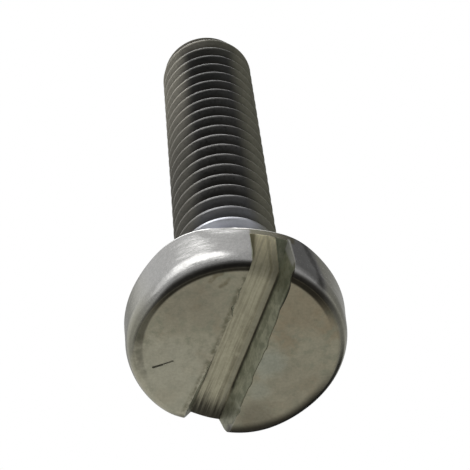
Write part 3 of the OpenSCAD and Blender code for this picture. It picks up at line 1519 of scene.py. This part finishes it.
@dataclass(frozen=True)
class ZincPlate:
    """Worn zinc plate: satin and clean on the side of the head, tarnished on its flat top,
    streaked in the slot and dark in the thread."""

    slot: DriverSlot
    finder: AreaFinder = field(default_factory=AreaFinder)
    flat_top: FlatTop = field(default_factory=FlatTop)
    side: HeadSide = field(default_factory=HeadSide)
    milled: MilledSlot = field(default_factory=MilledSlot)
    front_end: SlotFrontEnd = field(default_factory=SlotFrontEnd)
    thread: ThreadFinish = field(default_factory=ThreadFinish)
    edges: EdgeShadeAndLine = field(default_factory=EdgeShadeAndLine)
    gloss: Gloss = field(default_factory=Gloss)
    relief: Relief = field(default_factory=Relief)
    scratch_share: float = 0.85
    grain_dark: Tone = (0.84, 0.84, 0.84)
    grain_pale: Tone = (1.16, 1.16, 1.16)
    grain_contrast: float = 1.2

    def build(self) -> bpy.types.Material:
        """Builds the material.

        Returns:
            The finished material.
        """
        material = bpy.data.materials.new("worn_zinc_plate")
        graph = Graph(material)
        wear = self.slot.wear
        place = Place.read(graph, self.slot)
        areas = self.finder.find(place, wear)
        # Dusty, matte patches on the thread, with painted sheen on its left and right sides.
        dust_and_sheen = self.thread.dust_and_sheen(place, areas)
        # Painted glint on the right wall's worn edge at the slot's front end.
        worn_edge_glint = self.front_end.worn_edge_glint(place)
        scratch = self.flat_top.scratch(place, areas)
        # Nearly black marks: grime, scratch and specks, with painted shade and painted dark reflection at the
        # head's edges.
        dirt_and_shade = self.dirt_and_shade(place, areas, scratch)

        colour = graph.mix(areas.top, self.side.colour(graph, place), self.flat_top.colour(graph, place))
        colour = self.milled.colour(graph, place, areas, wear, colour)
        colour = self.side.right_side(graph, place, colour)
        colour = self.front_end.colour(graph, place, areas, wear, colour)
        # Painted shade on the slot's walls towards both ends.
        colour = self.milled.shade_wall_ends(graph, place, areas, colour)
        # The thread, with its painted sheen, painted crest highlight and painted bluish gleam near the head.
        colour = graph.mix(areas.thread, colour, self.thread.colour(graph, place, dust_and_sheen))
        # Painted glint: a light tone on the worn edge.
        colour = graph.mix(worn_edge_glint, colour, self.front_end.worn)
        colour = graph.mix(self.edges.edge_line(place, wear), colour, SHADE)
        # Mixes in the near-black of grime and of the painted shade and dark reflection.
        colour = graph.mix(dirt_and_shade, colour, GRIME_AND_SHADE)
        grain = graph.mix((place.grain - 0.5) * self.grain_contrast + 0.5, self.grain_dark, self.grain_pale)
        colour = graph.mix(1.0, colour, grain, "MULTIPLY")

        shader = graph.node("ShaderNodeBsdfPrincipled", inputs={
            "Base Color": colour,
            "Metallic": self.gloss.metal(areas, dust_and_sheen, worn_edge_glint),
            "Roughness": self.gloss.roughness(place, areas, dust_and_sheen, dirt_and_shade),
            "Normal": self.relief.normal(graph, place, areas, scratch)})
        graph.node("ShaderNodeOutputMaterial", inputs={"Surface": shader})
        return material

    def dirt_and_shade(self, place: Place, areas: Areas, scratch: Value) -> Value:
        """Gathers all that is nearly black: the scratch, the specks, the darker groove and floor end, and the
        painted dark reflection and painted shade round the flat top and on the rim behind it.

        Args:
            place: The place on the surface.
            areas: The screw's areas.
            scratch: The scratch's mask.

        Returns:
            The mask of all that is nearly black.
        """
        dirt_and_shade = (scratch * self.scratch_share).most(self.flat_top.specks(place, areas))
        dirt_and_shade = dirt_and_shade.most(self.edges.ring(place)).most(self.thread.darker_groove(place, areas))
        dirt_and_shade = dirt_and_shade.most(self.milled.darker_floor_end(place, areas)).most(self.edges.back_rim_shade(place, areas))
        return dirt_and_shade.clamp()


# Studio


@dataclass(frozen=True)
class SoftBox:
    """A bright or dark zone of the light tent, seen from the screw; azimuth 0 is the front."""

    azimuth: float
    elevation: float
    inner: float
    outer: float
    radiance: float

    def axis(self) -> tuple[float, float, float]:
        """Gives the direction of the zone's middle."""
        az, el = math.radians(self.azimuth), math.radians(self.elevation)
        return (math.sin(az) * math.cos(el), -math.cos(az) * math.cos(el), math.sin(el))


@dataclass
class Studio:
    """A pale floor, a light tent that only the metal's reflections see, one lamp and the world."""

    tent_radius: float = 0.6
    floor_radius: float = 1.6
    floor_drop: float = 0.00005
    floor_tone: tuple[float, float, float] = (0.82, 0.82, 0.82)
    floor_roughness: float = 0.9
    lamp_turn: tuple[float, float, float] = (38, 0, -40)
    lamp_strength: float = 1.1
    lamp_spread: float = 25.0
    sky: float = 0.6
    zones: tuple[SoftBox, ...] = (
        SoftBox(80, 40, 25, 62, 0.30),
        SoftBox(120, -25, 15, 45, 0.45),
        SoftBox(160, 0, 24, 38, 0.05),
        SoftBox(-40, 48, 15, 66, 1.55),
        SoftBox(180, 58, 22, 48, 0.42),
        SoftBox(-115, -25, 15, 45, 0.75),
        SoftBox(0, -62, 10, 34, 0.12),
        SoftBox(0, -85, 28, 35, 0.03),
        SoftBox(-62, -2, 6, 18, 2.2),
        SoftBox(-40, 4, 8, 20, 4.6),
        SoftBox(-20, 6, 8, 21, 5.4),
        SoftBox(-30, 80, 10, 26, 6.0),
    )
    middle: tuple[float, float, float] = (0.0, 0.0, 0.005)

    def build(self) -> None:
        """Builds all of it."""
        self.floor()
        self.tent()
        self.lamp()
        self.world()

    def floor(self) -> None:
        """Lays the floor, which shows from above only."""
        bpy.ops.object.select_all(action="DESELECT")
        bpy.ops.mesh.primitive_circle_add(vertices=96, radius=self.floor_radius, fill_type="NGON",
                                          location=(0, 0, -self.floor_drop))
        floor = take_name("studio_floor")
        bpy.ops.object.transform_apply(location=True, rotation=True, scale=True)
        material = bpy.data.materials.new("pale_floor")
        graph = Graph(material)
        cloth = graph.node("ShaderNodeBsdfPrincipled", inputs={
            "Base Color": (*self.floor_tone, 1), "Roughness": self.floor_roughness})
        clear = graph.node("ShaderNodeBsdfTransparent")
        below = graph.node("ShaderNodeNewGeometry", output="Backfacing")
        shown = graph.node("ShaderNodeMixShader", inputs={0: below, 1: cloth, 2: clear})
        graph.node("ShaderNodeOutputMaterial", inputs={"Surface": shown})
        floor.data.materials.append(material)
        floor.visible_glossy = floor.visible_diffuse = floor.visible_shadow = False

    def tent(self) -> None:
        """Hangs the light tent round the screw."""
        bpy.ops.object.select_all(action="DESELECT")
        bpy.ops.mesh.primitive_uv_sphere_add(segments=64, ring_count=32, radius=self.tent_radius,
                                             location=self.middle)
        tent = take_name("light_tent")
        material = bpy.data.materials.new("tent_light")
        graph = Graph(material)
        place = graph.node("ShaderNodeTexCoord", output="Object")
        direction = graph.node("ShaderNodeVectorMath", {"operation": "NORMALIZE"}, {0: place})
        level: Value | float = 1.0
        for zone in self.zones:
            cosine = graph.node("ShaderNodeVectorMath", {"operation": "DOT_PRODUCT"},
                                {0: direction, 1: zone.axis()}, output="Value")
            inside = cosine.rise(math.cos(math.radians(zone.outer)), math.cos(math.radians(zone.inner)))
            level = level + (zone.radiance - level) * inside
        light = graph.node("ShaderNodeEmission", inputs={"Color": (1, 1, 1, 1), "Strength": level})
        graph.node("ShaderNodeOutputMaterial", inputs={"Surface": light})
        material.cycles.emission_sampling = "NONE"
        tent.data.materials.append(material)
        tent.visible_camera = tent.visible_diffuse = tent.visible_shadow = False
        tent.visible_transmission = tent.visible_volume_scatter = False

    def lamp(self) -> None:
        """Hangs the soft lamp that gives the floor its shadow."""
        bpy.ops.object.select_all(action="DESELECT")
        bpy.ops.object.light_add(type="SUN", location=(0, 0, 0.5))
        sun = take_name("soft_lamp")
        sun.rotation_euler = [math.radians(degrees) for degrees in self.lamp_turn]
        sun.data.energy = self.lamp_strength
        sun.data.angle = math.radians(self.lamp_spread)
        sun.visible_glossy = False

    def world(self) -> None:
        """Makes the world white for the camera and in reflections, and softer on the floor."""
        world = bpy.context.scene.world or bpy.data.worlds.new("studio")
        bpy.context.scene.world = world
        graph = Graph(world)
        camera, glossy, through = (graph.node("ShaderNodeLightPath", output=f"Is {ray} Ray")
                                   for ray in ("Camera", "Glossy", "Transmission"))
        white = (camera + glossy + through).clamp()
        strength = self.sky + white * (1 - self.sky)
        sky = graph.node("ShaderNodeBackground", inputs={"Color": (1, 1, 1, 1), "Strength": strength})
        graph.node("ShaderNodeOutputWorld", inputs={"Surface": sky})
        world.cycles.sampling_method = "NONE"


@dataclass(frozen=True)
class PhotoCamera:
    """The photograph's camera, fitted to the screw's outline: it looks up at the head.

    Its place is in millimetres, and its right and up directions are in the row frame.
    """

    position: tuple[float, float, float] = (-4.8984, -56.6063, -77.19)
    right: tuple[float, float, float] = (0.99779, 0.00677, -0.06611)
    up: tuple[float, float, float] = (0.04111, -0.84449, 0.53399)
    lens: float = 130.6
    sensor: float = 36.0

    def build(self) -> None:
        """Sets the camera up and makes it the scene's own."""
        right = Vector(self.right).normalized()
        back = right.cross(Vector(self.up)).normalized()
        up = back.cross(right)
        bpy.ops.object.select_all(action="DESELECT")
        bpy.ops.object.camera_add(location=(0, 0, 0))
        camera = take_name("photo_camera")
        turned = Matrix((right, up, back)).transposed().to_4x4()
        camera.matrix_world = Matrix.Translation(Vector(self.position) * MM) @ turned
        camera.data.lens = self.lens
        camera.data.sensor_width = self.sensor
        camera.data.clip_start, camera.data.clip_end = 0.005, 10.0
        bpy.context.scene.camera = camera


# Assembly


@dataclass
class MachineScrew:
    """The whole screw: one forged, slotted and threaded piece."""

    head: Head = field(default_factory=Head)
    thread: Thread = field(default_factory=Thread)
    slot: DriverSlot = field(default_factory=DriverSlot)
    merge_within: float = 0.0005
    smooth_to_deg: float = 35.0

    def build(self) -> bpy.types.Object:
        """Models the screw, dresses it and puts it in the frame.

        Returns:
            The finished screw.
        """
        screw = self.head.build()
        cut(screw, self.thread.build(), Cut.JOIN)
        cut(screw, self.slot.cutter(), Cut.AWAY)
        self.slot.break_edges(screw, worn_end=True)
        self.slot.break_edges(screw, worn_end=False)
        self.finish_mesh(screw)
        screw.data.materials.clear()
        screw.data.materials.append(ZincPlate(self.slot).build())
        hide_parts(NODE)
        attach(screw, BODY)
        LOG.info("%s: %d faces", screw.name, len(screw.data.polygons))
        return screw

    def finish_mesh(self, screw: bpy.types.Object) -> None:
        """Cleans and smooths the mesh and brings it from millimetres to metres.

        Args:
            screw: The modelled screw.
        """
        only(screw)
        bpy.ops.object.mode_set(mode="EDIT")
        bpy.ops.mesh.select_all(action="SELECT")
        bpy.ops.mesh.remove_doubles(threshold=self.merge_within)
        bpy.ops.mesh.normals_make_consistent(inside=False)
        bpy.ops.object.mode_set(mode="OBJECT")
        bpy.ops.object.shade_smooth_by_angle(angle=math.radians(self.smooth_to_deg))
        weighted = screw.modifiers.new("weighted", "WEIGHTED_NORMAL")
        weighted.keep_sharp = True
        apply_all(screw)
        screw.scale = (MM, MM, MM)
        bpy.ops.object.transform_apply(location=True, rotation=True, scale=True)


def main() -> None:
    """Builds the screw, the studio and the camera."""
    logging.basicConfig(level=logging.INFO, format="%(name)s: %(message)s")
    bpy.context.scene.view_settings.view_transform = "Standard"
    MachineScrew().build()
    Studio().build()
    PhotoCamera().build()


if __name__ == "__main__":
    main()
